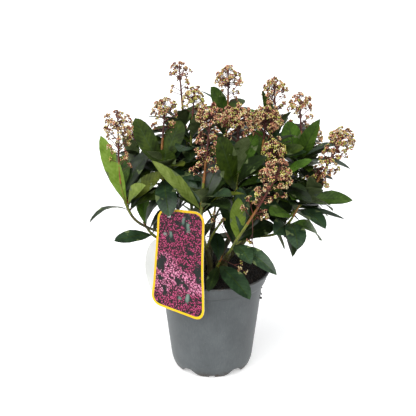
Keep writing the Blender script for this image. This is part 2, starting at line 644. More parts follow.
def fine_path(path, step):
    """The path again with points about a step apart."""
    count = max(4, round(path_length(path) / step))
    return [along_path(path, k / count)[0] for k in range(count + 1)]


def swollen(path, first, last, seed, ease=1.0):
    """Radii along the path that taper from first to last and swell a little at each leaf scar."""
    draw = random.Random(seed)
    radii = []
    for k in range(len(path)):
        share = k / (len(path) - 1)
        ring = SCAR_SWELL if k % SCAR_RINGS == 2 else 0.0
        radius = first + (last - first) * share**ease
        radii.append(radius * (1 + ring + draw.uniform(-0.02, 0.02)))
    return radii


limbs = Lines()
bough_paths, axes = {}, {}
for name in STEMS:
    path = fine_path(stem_path(name), RING_STEP)
    radii = swollen(path, STEM_FOOT_RADIUS, STEM_TIP_RADIUS, name)
    for k in range(FLARED_RINGS):
        radii[k] *= FOOT_FLARE - (FOOT_FLARE - 1) * k / FLARED_RINGS
    tip = path[-1] + (path[-1] - path[-2]).normalized() * 0.8 * MM
    path += [tip, tip + (path[-1] - path[-2]).normalized() * 0.7 * MM]
    radii += [STEM_TIP_RADIUS * 0.8, STEM_TIP_RADIUS * 0.25]
    limbs.add(path, radii, [0] * len(path))
places = {name: fork_places(name) for name in STEMS}
for shoot in SHOOTS:
    place = places[shoot.stem][shoot.name] if shoot.stem else Vector()
    bough_paths[shoot.name], axes[shoot.name] = shoot_paths(shoot, place, LIMB_POINTS)
    smooth_bough, smooth_axis = shoot_paths(shoot, place, FINE_LIMB_POINTS)
    foot = smooth_bough[0] - (smooth_bough[1] - smooth_bough[0]).normalized() * 2 * MM
    bough = fine_path([foot] + smooth_bough, RING_STEP)
    foot_radius = BOUGH_FOOT_RADIUS if shoot.stem else BOUGH_TIP_RADIUS * 1.3
    axis = fine_path(smooth_axis, RING_STEP)
    path = bough + axis[1:]
    radii = swollen(bough, foot_radius * 0.95, BOUGH_TIP_RADIUS * 0.9, shoot.name)
    radii += swollen(axis[1:], BOUGH_TIP_RADIUS * 0.95, SHOOT_TIP_RADIUS * 0.5, shoot.name + " axis", 1.5)
    # The boughs at the far left have aged bark. A shoot's rind turns orange-brown above its leaves, and
    # maroon where it bears the head.
    kinds = [0 if shoot.whorl[0] < -50 else 1] * len(bough)
    bare = 1 - shoot.head * MM / path_length(smooth_axis)
    green_end, orange_end = max(bare * 0.55, 0.32), max(bare, 0.52)
    for k in range(len(axis) - 1):
        share = k / (len(axis) - 1)
        kinds.append(1 + (share >= green_end) + (share >= orange_end))
    limbs.add(path, radii, kinds)
wood = limbs.to_object("stems_and_boughs")
limb_tree = tube_tree("Limbs", limb_materials)
grow(wood, limb_tree, {"Sides": 10, "Ridge height": BARK_RIDGE, "Ridge scale": 450.0})
fit(wood, "bark", *STEMS, *["bough_" + s.name for s in SHOOTS])

# Leaves. Evergreen leathery blades, oblong and bluntly pointed, on short reddish stalks. Each shoot
# bears them in one crowded whorl under its bud head, and older ones stand singly down the bough.
GOLDEN_TURN = math.radians(137.5)
WHORL_START = 3 * MM
WHORL_DEPTH = 26 * MM
LEAF_WIDTH_SHARE = 0.34
LEAF_THICKNESS_SHARE = 0.013
LEAF_STALK = 1.5 * MM
LEAF_CLEAR = 0.9 * MM
SHOWN_LEAF_CLEAR = 0.45 * MM
LOWEST_LEAF = 95 * MM
LEAF_DROOP = 0.14
BLADE_THICKNESS = 0.35 * MM
# The rule's two rounds: how many places are tried beyond the shoot's number of leaves, the seed's
# ending, the clear room round a leaf, and how many leaves a shoot with a head may have beyond its number.
RULE_ROUNDS = ((5, " leaves", LEAF_CLEAR, 0), (12, " second leaves", 0.35 * MM, 6))
# The older leaves: how many are tried on each bough, their angles from it in degrees, their lengths in
# mm, their finishes, the clear room round them and their least height at the front and at the back.
OLDER_LEAVES = 26
OLDER_LEAF_LIFTS = (38, 82)
OLDER_LEAF_LENGTHS = (42, 66)
OLDER_LEAF_TINTS = ("inner", "inner", "dark")
OLDER_LEAF_CLEAR = 0.3 * MM
LOWEST_OLDER_LEAF = (185 * MM, 140 * MM)
BRANCH_SPACING = 8 * MM
BUD_CLUSTER_RADIUS = 4.4 * MM
# The crown seen from above: its middle, its half-width and half-depth, and the share of them that it
# reaches at each height in mm.
CROWN_MIDDLE = Vector((10, 5)) * MM
CROWN_HALF = (162 * MM, 148 * MM)
CROWN_SHARES = ((95, 0.5), (150, 0.70), (200, 0.95), (300, 1.0), (340, 0.84), (365, 0.62), (400, 0.3))
# Open spaces that only shown leaves enter, in mm: before the stems, low at the left, before the left
# whorls, far out at the left and over the label. Each row holds the least and greatest x, the greatest
# y and the greatest z.
OPENINGS = (
    (-200, 200, -15, 236),
    (-200, -52, 200, 226),
    (-200, -52, -32, 290),
    (-200, -118, 60, 275),
    (-60, 0, -70, 264),
)
# Rows along the blade: the share of its length, and the half-width there of a blunt blade and of a
# pointed one, as shares of the widest.
BLADE_ROWS = (
    (0.0, 0.06, 0.06),
    (0.06, 0.07, 0.07),
    (0.15, 0.28, 0.32),
    (0.28, 0.60, 0.68),
    (0.42, 0.85, 0.93),
    (0.57, 0.98, 1.0),
    (0.72, 1.0, 0.86),
    (0.85, 0.84, 0.56),
    (0.94, 0.54, 0.26),
    (1.0, 0.0, 0.0),
)
BLADE_COLUMNS = (-1.0, -0.55, -0.055, 0.055, 0.55, 1.0)

Leaf = namedtuple("Leaf", "shoot height bearing rise length width tint toward arch fold pointed")
Placed = namedtuple("Placed", "base tip width face tint arch fold twist pointed")

# Leaves whose place the photograph settles, in mm and degrees: the height up the shoot, the bearing
# seen from above (0 to the front, 90 to the right), the rise above level, the length and the width.
# Then the tint, how far the face turns to the front, the arch, the fold and how pointed it is.
SHOWN_LEAVES = [
    Leaf("left_front", 10, -77, 72, 94, 20, "bright", 0.9, 0.03, 0.08, 0.5),
    Leaf("left_front", 14, 95, 41, 60, 20, "olive", 0.6, 0.05, 0.3, 0.8),
    Leaf("left_front", 8, 51, 48, 46, 22, "light_olive", 0.4, 0.08, 0.5, 0.6),
    Leaf("left_front", 4, -43, -1, 62, 15, "dark", 0.0, 0.17, 0.3, 0.8),
    Leaf("left_front", 18, 159, 36, 84, 24, "dark", 0.3, 0.09, 0.2, 0.5),
    Leaf("left_front", 20, -157, 36, 80, 22, "deep", 0.5, 0.09, 0.2, 0.5),
    Leaf("left_mid", 14, -105, 62, 72, 25, "broad", 0.9, 0.05, 0.05, 0.3),
    Leaf("left_mid", 18, 116, 65, 62, 25, "broad", 0.9, 0.04, 0.05, 0.0),
    Leaf("left_mid", 4, 37, 77, 40, 28, "broad", 0.9, 0.08, 0.05, 0.0),
    Leaf("left_mid", 2, 9, -22, 72, 26, "deep", 0.4, 0.12, 0.1, 0.2),
    Leaf("left_mid", 8, 150, 38, 66, 24, "deep", 0.4, 0.08, 0.2, 0.5),
    Leaf("centre_front", 8, -71, 48, 88, 20, "light_olive", 0.5, 0.05, 0.1, 0.9),
    Leaf("centre_front", 4, 59, 30, 66, 13, "olive", 0.1, 0.12, 0.4, 0.9),
    Leaf("centre_front", 14, 116, 36, 64, 16, "mid", 0.0, 0.05, 0.4, 0.9),
    Leaf("centre_front", 16, 119, 63, 67, 24, "dark", 0.5, 0.09, 0.2, 0.5),
    Leaf("centre_front", 10, -159, 33, 64, 24, "deep", 0.5, 0.09, 0.2, 0.5),
    Leaf("right_front", 14, 14, 85, 54, 19, "yellow", 0.95, 0.04, 0.1, 0.6),
    Leaf("right_front", 6, 20, -6, 52, 20, "deep", 0.5, 0.10, 0.2, 0.6),
    Leaf("right_front", 2, 39, -9, 76, 20, "deep", 0.5, 0.12, 0.2, 0.7),
    Leaf("right_front", 10, 125, 10, 60, 22, "dark", 0.3, 0.10, 0.3, 0.5),
    Leaf("centre", 2, -25, 58, 92, 30, "broad", 0.6, 0.03, 0.05, 0.2),
    Leaf("centre", 14, 51, 42, 59, 24, "dark", 0.5, 0.08, 0.2, 0.8),
    Leaf("centre", 6, -137, 21, 64, 26, "deep", 0.4, 0.08, 0.2, 0.5),
    Leaf("right_low", 6, -20, 8, 56, 24, "deep", 0.5, 0.12, 0.2, 0.5),
    Leaf("right_low", 12, 4, -10, 62, 24, "deep", 0.5, 0.12, 0.2, 0.3),
    Leaf("right_low", 4, 3, -15, 60, 18, "dark", 0.3, 0.12, 0.3, 0.9),
    Leaf("right_outer", 8, 27, -6, 62, 22, "deep", 0.5, 0.10, 0.2, 0.6),
    Leaf("right_outer", 16, 27, 14, 64, 18, "mid", 0.1, 0.06, 0.3, 0.9),
    Leaf("right_outer", 6, 99, -13, 66, 15, "deep", 0.1, 0.05, 0.3, 0.8),
    Leaf("right_outer", 14, 24, 40, 50, 27, "deep", 0.4, 0.08, 0.1, 0.0),
    Leaf("right_outer", 20, 99, -1, 64, 20, "mid", 0.6, 0.10, 0.3, 0.9),
    Leaf("right_top", 6, -71, 75, 62, 26, "fresh", 0.95, 0.04, 0.15, 0.1),
    Leaf("right_top", 14, 42, 62, 66, 20, "mid", 0.6, 0.06, 0.6, 0.9),
    Leaf("right_top", 4, 31, -15, 52, 22, "dark", 0.3, 0.10, 0.2, 0.5),
    Leaf("centre_right", 10, -157, 21, 58, 26, "dark", 0.4, 0.08, 0.2, 0.5),
    Leaf("centre_right", 14, 70, -5, 50, 20, "dark", 0.4, 0.08, 0.2, 0.5),
    Leaf("top_back", 12, -32, 47, 60, 20, "mid", 0.9, 0.05, 0.1, 0.4),
    Leaf("top_back", 16, 155, 13, 52, 19, "broad", 0.6, 0.06, 0.2, 0.6),
    Leaf("back_right", 14, -108, 72, 62, 14, "broad", 0.5, 0.05, 0.3, 1.0),
    Leaf("low_front", 6, 31, -15, 74, 25, "deep", 0.6, 0.10, 0.2, 0.5),
    Leaf("low_front", 4, -14, -15, 52, 14, "dark", 0.6, 0.08, 0.2, 0.3),
    Leaf("low_left", 2, -54, 4, 56, 20, "deep", 0.6, 0.08, 0.1, 0.4),
]
# Each blade finish: its dark, middle and light tone, its roughness and gloss, and its share among the
# rule's leaves.
BLADE_FINISHES = {
    "dark": (("#131e0b", "#1d2b12", "#2a3a1a"), 0.34, 0.5, 5),
    "deep": (("#19291a", "#263b24", "#364e31"), 0.36, 0.5, 4),
    "broad": (("#1d2806", "#2f400d", "#435417"), 0.45, 0.15, 3),
    "mid": (("#273d0d", "#3a531a", "#4d6725"), 0.42, 0.2, 2),
    "fresh": (("#2c460f", "#3e5b19", "#517225"), 0.45, 0.15, 1),
    "olive": (("#353e0c", "#485216", "#5c6622"), 0.45, 0.15, 1),
    "yellow": (("#566a1f", "#6c8230", "#7f9440"), 0.5, 0.15, 0),
    "light_olive": (("#5d6e2a", "#72823c", "#86954e"), 0.5, 0.15, 0),
    "bright": (("#5f7d26", "#728f34", "#84a046"), 0.48, 0.15, 0),
    "inner": (("#0b1208", "#131c0e", "#1e2a16"), 0.5, 0.2, 0),
}
TINTS = list(BLADE_FINISHES)


def blade_material(name, tones, roughness, gloss=0.3):
    """A waxy evergreen leaf: the cuticle gives a soft gloss over mottled green, with faint side veins
    that run forward from the midrib."""
    material, tree, shader = new_material(name)
    place = node(tree, "ShaderNodeTexCoord").outputs["Object"]
    flat = node(tree, "ShaderNodeAttribute", attribute_name="flat").outputs["Vector"]
    parts = node(tree, "ShaderNodeSeparateXYZ", {0: flat})
    side = node(tree, "ShaderNodeMath", {0: parts.outputs["X"]}, operation="ABSOLUTE")
    forward = node(tree, "ShaderNodeMath", {0: side, 1: -0.20, 2: parts.outputs["Y"]},
                   operation="MULTIPLY_ADD")
    veins = node(tree, "ShaderNodeMath", {0: forward, 1: 75.0}, operation="MULTIPLY")
    veins = node(tree, "ShaderNodeMath", {0: veins}, operation="SINE")
    mottle = node(tree, "ShaderNodeTexNoise",
                  {"Vector": place, "Scale": 90.0, "Detail": 5.0, "Roughness": 0.6})
    factor = node(tree, "ShaderNodeMath", {0: veins, 1: 0.035, 2: mottle}, operation="MULTIPLY_ADD")
    tone = node(tree, "ShaderNodeValToRGB", {"Fac": factor}, stops=list(zip((0.33, 0.5, 0.68), tones)))
    fine = node(tree, "ShaderNodeTexNoise", {"Vector": place, "Scale": 900.0, "Detail": 2.0})
    relief = node(tree, "ShaderNodeMath", {0: veins, 1: 0.25, 2: fine}, operation="MULTIPLY_ADD")
    bump = node(tree, "ShaderNodeBump", {"Height": relief, "Strength": 0.25, "Distance": 0.0003})
    set_up(shader, base_color=tone, roughness=roughness, normal=bump, ior=1.45, specular_ior_level=gloss)
    return material


def sideways(along, turn):
    """A direction square to the limb, turned about it."""
    return Quaternion(along, turn) @ along.orthogonal().normalized()


def leaning(along, turn, angle):
    """A direction at an angle to the limb, turned about it."""
    return along * math.cos(angle) + sideways(along, turn) * math.sin(angle)


def heading(bearing, rise):
    """A direction by its bearing from the front towards the right and its rise, in degrees."""
    bearing, rise = math.radians(bearing), math.radians(rise)
    level = Vector((math.sin(bearing), -math.cos(bearing), 0))
    return level * math.cos(rise) + UP * math.sin(rise)


def leaf_face(chord, axis, toward):
    """The way the blade's upper face looks: along the shoot, or turned towards the front."""
    face = (axis + UP * 0.35).normalized() * (1 - toward) + Vector((0.0, -0.9, 0.35)) * toward
    return (face - chord * face.dot(chord)).normalized()


def leaf_solid(base, tip, width, face, swell=0.0, start=0.0):
    """The source's slim blade, for testing room: three-cornered rings and a pointed tip."""
    chord = tip - base
    length = chord.length
    chord.normalize()
    across = chord.cross(face)
    thickness = length * LEAF_THICKNESS_SHARE
    points = []
    for share, broad in ((start, 0.6 if start else 0.0), (0.40, 0.88), (0.76, 0.84)):
        half = max(width * broad / 2, LEAF_STALK / 2) + swell
        deep = max(thickness, LEAF_STALK * 0.8 if share == 0 else 0) + 2 * swell
        middle = base + chord * (length * share) + face * length * 0.36 * share * (1 - share)
        points += [
            middle - across * half + face * (deep / 3 + half * 0.12),
            middle + across * half + face * (deep / 3 + half * 0.12),
            middle - face * deep * 2 / 3,
        ]
    points.append(base + chord * (length + swell))
    faces = [(0, 1, 2)]
    for low in (0, 3):
        for k in range(3):
            n = (k + 1) % 3
            faces.append((low + k, low + 3 + k, low + 3 + n, low + n))
    faces += [(6, 9, 7), (7, 9, 8), (8, 9, 6)]
    return points, faces


def box_of(points):
    """The least and greatest corner of the points' box."""
    low = [min(p[i] for p in points) for i in range(3)]
    high = [max(p[i] for p in points) for i in range(3)]
    return low, high


class Space:
    """What already stands in the crown, by its owner."""

    def __init__(self):
        self.things = []

    def add(self, owner, points, faces):
        low, high = box_of(points)
        self.things.append((owner, low, high, BVHTree.FromPolygons([tuple(p) for p in points], faces)))

    def is_free(self, points, faces, skip=()):
        """Whether the shape touches nothing but its own owner's things."""
        low, high = box_of(points)
        tree = None
        for owner, near, far, other in self.things:
            if owner in skip or any(low[i] > far[i] or high[i] < near[i] for i in range(3)):
                continue
            tree = tree or BVHTree.FromPolygons([tuple(p) for p in points], faces)
            if tree.overlap(other):
                return False
        return True


def nudged(base, tip, along):
    """The leaf's tip as it grows, then turned a little about the shoot or lifted, to find room."""
    yield tip
    for turn, lift in ((0.3, 0), (-0.3, 0), (0, 0.25), (0, -0.25), (0.55, 0.1), (-0.55, 0.1)):
        reach = Quaternion(along, turn) @ (tip - base)
        across = along.cross(reach)
        if across.length > 0:
            reach = Quaternion(across.normalized(), lift) @ reach
        yield base + reach


def roomy_tip(space, name, base, tip, width, along, toward, clear, shown=False, limb=""):
    """Where the leaf's tip finds room, or None. The whole leaf keeps clear of other pieces, and its
    blade of its own mass's. Only a shown leaf may end in the open space."""
    own = (name, name + " stalks", limb)
    for place in nudged(base, tip, along):
        if in_opening(place) and not shown:
            continue
        face = leaf_face((place - base).normalized(), along, toward)
        whole = leaf_solid(base, place, width, face, clear)
        blade = leaf_solid(base, place, width, face, clear * 0.5, 0.3)
        low = min(point.z for point in whole[0])
        if low > LOWEST_LEAF and space.is_free(*whole, own) and space.is_free(*blade, own[1:]):
            space.add(name, *leaf_solid(base, place, width, face, 0.0, 0.25))
            space.add(name + " stalks", *leaf_solid(base, place, width, face))
            return place
    return None


def whorl_place(axis_path, share):
    """The point and direction of the shoot at a share of the whorl's height."""
    total = path_length(axis_path)
    depth = min(WHORL_DEPTH, total * 0.75 - WHORL_START)
    return along_path(axis_path, (WHORL_START + depth * share) / total)


def whorl_leaves(shoot, axis_path, extra, seed):
    """The whorl's leaves by the growth rule: (base, tip, width, shoot direction), lowest first."""
    draw = random.Random(shoot.name + seed)
    count = shoot.leaves + extra
    for i in range(count):
        share = i / (count - 1)
        base, along = whorl_place(axis_path, share)
        turn = math.radians(shoot.turn) + i * GOLDEN_TURN + draw.uniform(-0.2, 0.2)
        lift = math.radians(shoot.lift + 30 - 48 * share + draw.uniform(-8, 8))
        direction = leaning(along, turn, lift)
        length = shoot.length * MM * (1 - 0.2 * share) * draw.uniform(0.88, 1.1)
        droop = UP * (-LEAF_DROOP * length * math.sin(lift))
        width = length * LEAF_WIDTH_SHARE * draw.uniform(0.9, 1.1)
        yield base, base + direction * length + droop, width, along


def shown_leaf(leaf, axis_path):
    """The same for a leaf whose bearing and rise are told."""
    base, along = along_path(axis_path, leaf.height * MM / path_length(axis_path))
    reach = heading(leaf.bearing, leaf.rise) * leaf.length * MM
    return base, base + reach, leaf.width * MM, along


def in_crown(point):
    """Whether the point lies within the crown's reach."""
    height = point.z / MM
    for (low, near), (high, far) in zip(CROWN_SHARES, CROWN_SHARES[1:]):
        if low <= height < high:
            share = near + (far - near) * (height - low) / (high - low)
            across = (point.x - CROWN_MIDDLE.x) / CROWN_HALF[0]
            deep = (point.y - CROWN_MIDDLE.y) / CROWN_HALF[1]
            return math.hypot(across, deep) < share
    return False


def in_opening(point):
    """Whether the point lies in an open space that only shown leaves enter."""
    x, y, z = point / MM
    return any(left < x < right and y < back and z < top for left, right, back, top in OPENINGS)


def older_leaves(shoot, bough_path):
    """Leaves left from last year, down the upper three quarters of the bough."""
    draw = random.Random(shoot.name + " older")
    for i in range(OLDER_LEAVES):
        share = 0.98 - 0.72 * i / OLDER_LEAVES
        base, along = along_path(bough_path, share)
        turn = i * GOLDEN_TURN + draw.uniform(-0.3, 0.3)
        direction = leaning(along, turn, math.radians(draw.uniform(*OLDER_LEAF_LIFTS)))
        length = draw.uniform(*OLDER_LEAF_LENGTHS) * MM
        yield base, base + direction * length, length * LEAF_WIDTH_SHARE * draw.uniform(0.9, 1.1), along


def head_branches(shoot, axis_path):
    """The side branches of the head by the growth rule: (foot, tip) pairs, lowest first."""
    draw = random.Random(shoot.name + " head")
    head_share = shoot.head * MM / path_length(axis_path)
    count = round(shoot.head * MM / BRANCH_SPACING) + 2
    branches = []
    for i in range(count):
        share = i / count
        foot, along = along_path(axis_path, 1 - head_share * (1 - share) * 0.97)
        turn = i * GOLDEN_TURN + draw.uniform(-0.25, 0.25)
        open_angle = math.radians(64 - 30 * share + draw.uniform(-6, 6))
        fullness = 0.82 + 0.34 * math.sin(math.pi * min(1, share * 1.4)) - 0.5 * share**2
        length = shoot.spread * MM * fullness * draw.uniform(0.82, 1.1)
        branches.append((foot, foot + leaning(along, turn, open_angle) * length))
    return branches


def test_box(centre, radius):
    """Points and faces of a small box round a point, for testing room."""
    points = [centre + Vector((x, y, z)) * radius for x in (-1, 1) for y in (-1, 1) for z in (-1, 1)]
    faces = [(0, 1, 3, 2), (4, 6, 7, 5), (0, 4, 5, 1), (2, 3, 7, 6), (0, 2, 6, 4), (1, 5, 7, 3)]
    return points, faces


def test_strip(path, radius):
    """Points and faces of a thin cross of strips along a path, for testing room."""
    points, faces = [], []
    for i, point in enumerate(path):
        along = along_path(path, i / (len(path) - 1))[1]
        side = along.orthogonal().normalized() * radius
        other = along.cross(side)
        points += [point - side, point + side, point - other, point + other]
        if i:
            n = 4 * i
            faces += [(n - 4, n - 3, n + 1, n), (n - 2, n - 1, n + 3, n + 2)]
    return points, faces


space = Space()
for name in ("pot", "compost", "label"):
    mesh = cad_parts[name].data
    space.add(name, [v.co for v in mesh.vertices], [tuple(p.vertices) for p in mesh.polygons])
for name in STEMS:
    space.add(name, *test_strip(stem_path(name), STEM_FOOT_RADIUS))
for shoot in SHOOTS:
    space.add("bough_" + shoot.name, *test_strip(bough_paths[shoot.name], BOUGH_TIP_RADIUS))
    space.add(shoot.name + " stalks", *test_strip(axes[shoot.name], SHOOT_TIP_RADIUS))
kept_branches = {shoot.name: [] for shoot in SHOOTS}
for shoot in SHOOTS:
    if shoot.head:
        own = (shoot.name, shoot.name + " stalks")
        for foot, tip in head_branches(shoot, axes[shoot.name]):
            room = test_box(tip, BUD_CLUSTER_RADIUS)
            if space.is_free(*room, own):
                kept_branches[shoot.name].append((foot, tip))
                space.add(shoot.name, *room)

spray = []
placed = {shoot.name: 0 for shoot in SHOOTS}
tint_draw = random.Random("tints")
rule_tints = [t for t in TINTS for _ in range(BLADE_FINISHES[t][3])]


def keep_leaf(base, tip, width, along, tint, toward, arch, fold, pointed):
    """Adds a leaf to the spray with a twist of its own."""
    face = leaf_face((tip - base).normalized(), along, toward)
    twist = tint_draw.uniform(-0.25, 0.25)
    spray.append(Placed(base, tip, width, face, tint, arch, fold, twist, pointed))


for row in SHOWN_LEAVES:
    base, tip, width, along = shown_leaf(row, axes[row.shoot])
    tip = roomy_tip(space, row.shoot, base, tip, width, along, row.toward, SHOWN_LEAF_CLEAR, shown=True)
    if tip:
        keep_leaf(base, tip, width, along, row.tint, row.toward, row.arch, row.fold, row.pointed)
        placed[row.shoot] += 1
for extra, seed, clear, more in RULE_ROUNDS:
    for shoot in SHOOTS:
        for base, tip, width, along in whorl_leaves(shoot, axes[shoot.name], extra, seed):
            if placed[shoot.name] >= shoot.leaves + more * bool(shoot.head) or not in_crown(tip):
                continue
            toward = tint_draw.uniform(0.0, 0.3)
            tip = roomy_tip(space, shoot.name, base, tip, width, along, toward, clear)
            if tip:
                arch, fold = tint_draw.uniform(0.06, 0.13), tint_draw.uniform(0.1, 0.35)
                keep_leaf(base, tip, width, along, tint_draw.choice(rule_tints), toward, arch, fold,
                          tint_draw.uniform(0.2, 0.9))
                placed[shoot.name] += 1
for shoot in SHOOTS:
    if not shoot.stem:
        continue
    for base, tip, width, along in older_leaves(shoot, bough_paths[shoot.name]):
        lowest = LOWEST_OLDER_LEAF[base.y > 10 * MM]
        if base.z < lowest or not in_crown(tip) or in_opening(tip) or in_opening(base):
            continue
        limb = "bough_" + shoot.name
        tip = roomy_tip(space, shoot.name, base, tip, width, along, 0.0, OLDER_LEAF_CLEAR, limb=limb)
        if tip:
            keep_leaf(base, tip, width, along, tint_draw.choice(OLDER_LEAF_TINTS), 0.0, 0.1, 0.2, 0.5)

# One flat blade of unit length, which the tree below bends into each leaf's shape. Its parts are 0 for
# the upper face, 1 for the midrib, 2 for the underside and 3 for the leaf's stalk.
points, faces, parts = [], [], []
margin = set()
trims = []
for share, blunt, pointed in BLADE_ROWS[:-1]:
    for column in BLADE_COLUMNS:
        proud = 0.5 if abs(column) == 0.55 else 0.0
        points.append(Vector((column * blunt, share, proud)))
    points.append(Vector((0, share, -1.0)))
    trims += [pointed / blunt - 1] * (len(BLADE_COLUMNS) + 1)
tip_number = len(points)
points.append(Vector((0, 1, 0)))
trims.append(0.0)
row_size = len(BLADE_COLUMNS) + 1
last = len(BLADE_ROWS) - 2
for i in range(last + 1):
    a, b = i * row_size, (i + 1) * row_size
    ring = list(range(len(BLADE_COLUMNS))) + [row_size - 1, 0]
    for k in range(row_size):
        near, far = ring[k], ring[k + 1]
        faces.append((a + near, a + far, tip_number) if i == last else (a + near, a + far, b + far, b + near))
        part = 2 if k >= row_size - 2 else 1 if k == 2 else 0
        parts.append(3 if i == 0 else part)
    for k in (0, row_size - 2):
        margin.add(frozenset((a + k, tip_number if i == last else b + k)))
faces.append(tuple(reversed(range(row_size))))
parts.append(3)
blade = mesh_object("blade", points, faces)
store(blade, "part", "INT", parts, "FACE")
store(blade, "flat", "FLOAT_VECTOR", points)
store(blade, "trim", "FLOAT", trims)
blade.data.shade_smooth()
creases = [frozenset(edge.vertices) in margin for edge in blade.data.edges]
store(blade, "sharp_edge", "BOOLEAN", creases, "EDGE")

midrib = blade_material("midrib_green", ("#28371a", "#344520", "#435629"), 0.45, 0.15)
underside = blade_material("leaf_underside", ("#4d5b35", "#5f6d44", "#728055"), 0.62)
petiole = blade_material("leaf_stalk_red", ("#5a2416", "#7c3722", "#8d5a34"), 0.5)

tree, inputs = new_tree("Leaves", [("Blade", "Object"), ("Thickness", "Float")])
info = node(tree, "GeometryNodeObjectInfo", {0: inputs["Blade"]}).outputs["Geometry"]
blades = node(tree, "GeometryNodeInstanceOnPoints", {"Points": inputs[0], "Instance": info})
blades = node(tree, "GeometryNodeRealizeInstances", {0: blades})
read = {}
for name in ("base", "chord", "face", "flat"):
    read[name] = node(tree, "GeometryNodeInputNamedAttribute", {"Name": name}, data_type="FLOAT_VECTOR")
for name in ("half_width", "length", "arch", "fold", "twist", "pointed", "trim"):
    read[name] = node(tree, "GeometryNodeInputNamedAttribute", {"Name": name}, data_type="FLOAT")
tint = node(tree, "GeometryNodeInputNamedAttribute", {"Name": "tint"}, data_type="INT")
flat = node(tree, "ShaderNodeSeparateXYZ", {0: read["flat"]}).outputs
read |= {"X": flat["X"], "Y": flat["Y"], "Z": flat["Z"], "thickness": inputs["Thickness"]}
# Each row is a sum: its result, what it does and what it takes. They give how far a point lies along
# the leaf (run), to its side (reach), up its arch (hump) and off its folded, wavy face (proud).
BLADE_SUMS = (
    ("angle", "MULTIPLY", "twist", "Y"),
    ("run", "MULTIPLY", "length", "Y"),
    ("slim", "MULTIPLY_ADD", "pointed", "trim", 1.0),
    ("reach", "MULTIPLY", "half_width", "X"),
    ("reach", "MULTIPLY", "reach", "slim"),
    ("rest", "SUBTRACT", 1.0, "Y"),
    ("hump", "MULTIPLY", "run", "rest"),
    ("hump", "MULTIPLY", "hump", "arch"),
    ("hump", "MULTIPLY", "hump", 4.0),
    ("out", "ABSOLUTE", "reach"),
    ("vee", "MULTIPLY", "out", "fold"),
    ("ripple", "MULTIPLY_ADD", "Y", 14.0, "twist"),
    ("ripple", "SINE", "ripple"),
    ("ripple", "MULTIPLY", "ripple", "out"),
    ("vee", "MULTIPLY_ADD", "ripple", 0.06, "vee"),
    ("proud", "MULTIPLY_ADD", "Z", "thickness", "vee"),
)
for name, operation, *terms in BLADE_SUMS:
    taken = {i: read.get(term, term) for i, term in enumerate(terms)}
    read[name] = node(tree, "ShaderNodeMath", taken, operation=operation)
across = node(tree, "ShaderNodeVectorMath", {0: read["chord"], 1: read["face"]}, operation="CROSS_PRODUCT")
turned_about = {"Axis": read["chord"], "Angle": read["angle"]}
side = node(tree, "ShaderNodeVectorRotate", {"Vector": across, **turned_about})
normal = node(tree, "ShaderNodeVectorRotate", {"Vector": read["face"], **turned_about})
position = read["base"]
for way, amount in ((read["chord"], "run"), (side, "reach"), (read["face"], "hump"), (normal, "proud")):
    step = node(tree, "ShaderNodeVectorMath", {0: way, "Scale": read[amount]}, operation="SCALE")
    position = node(tree, "ShaderNodeVectorMath", {0: position, 1: step}, operation="ADD")
shape = node(tree, "GeometryNodeSetPosition", {"Geometry": blades, "Position": position})
tones = [blade_material(f"leaf_{name}", *BLADE_FINISHES[name][:3]) for name in TINTS]
shape = dress(tree, shape, "tint", tones)
# A midrib shows only on the finishes that are darker than it.
is_dark = node(tree, "FunctionNodeCompare", {2: tint, 3: TINTS.index("olive")}, data_type="INT",
               operation="LESS_THAN")
shape = dress(tree, shape, "part", [midrib], first=1, where=is_dark)
shape = dress(tree, shape, "part", [underside, petiole], first=2)
close_tree(tree, shape)

leaves = mesh_object("leaves", [leaf.base for leaf in spray], [])
chords = [leaf.tip - leaf.base for leaf in spray]
store(leaves, "base", "FLOAT_VECTOR", [leaf.base for leaf in spray])
store(leaves, "chord", "FLOAT_VECTOR", [chord.normalized() for chord in chords])
store(leaves, "face", "FLOAT_VECTOR", [leaf.face for leaf in spray])
store(leaves, "half_width", "FLOAT", [leaf.width / 2 for leaf in spray])
store(leaves, "length", "FLOAT", [chord.length for chord in chords])
store(leaves, "tint", "INT", [TINTS.index(leaf.tint) for leaf in spray])
for name in ("arch", "fold", "twist", "pointed"):
    store(leaves, name, "FLOAT", [getattr(leaf, name) for leaf in spray])
grow(leaves, tree, {"Blade": blade, "Thickness": BLADE_THICKNESS})
bpy.data.objects.remove(blade)
fit(leaves, "foliage", *["mass_" + s.name for s in SHOOTS])

# Bud heads. Each is a branching panicle on a red-brown stalk that ends in domed clusters of round
# closed buds, pink to tan or greenish cream. The stalks are woody and thin, the buds waxy and firm.
BUD_SIZE = 1.12 * MM
PEDICEL = 1.5 * MM
ARM = 2.7 * MM
# How far a branch's knot of buds reaches past its end.
KNOT_REACH = 4.5 * MM
# The dome at a head's top: its radius as a share of the head's half-width, and its usual branches.
DOME_SHARE = 0.66
DOME_BRANCHES = 15
# The radii of a side branch, an arm, a bud's own stalk and a stray stalk, at the foot and the tip.
BRANCH_RADII = (0.55 * MM, 0.38 * MM)
ARM_RADII = (0.36 * MM, 0.3 * MM)
PEDICEL_RADII = (0.26 * MM, 0.22 * MM)
STRAY_RADII = (0.6 * MM, 0.35 * MM)
# A branch longer than this bears arms part way, at these shares of its length.
LONG_BRANCH = 13 * MM
ARM_SHARES = (0.58, 0.8)
# How many lower side branches a head of the usual height, in mm, bears.
LOWER_BRANCHES = 12
USUAL_HEAD = 50
BUD_TINTS = ("salmon", "tan", "cream", "lime", "brown_pink")
BUD_COLOURS = {
    "salmon": ("#b0694f", "#d29574", "#e6b695"),
    "tan": ("#9a6c40", "#c69a68", "#debf8f"),
    "cream": ("#c0a668", "#e0cf95", "#f0e6ba"),
    "lime": ("#8f9136", "#b8b852", "#d2cf78"),
    "brown_pink": ("#6a3629", "#965746", "#b98069"),
}
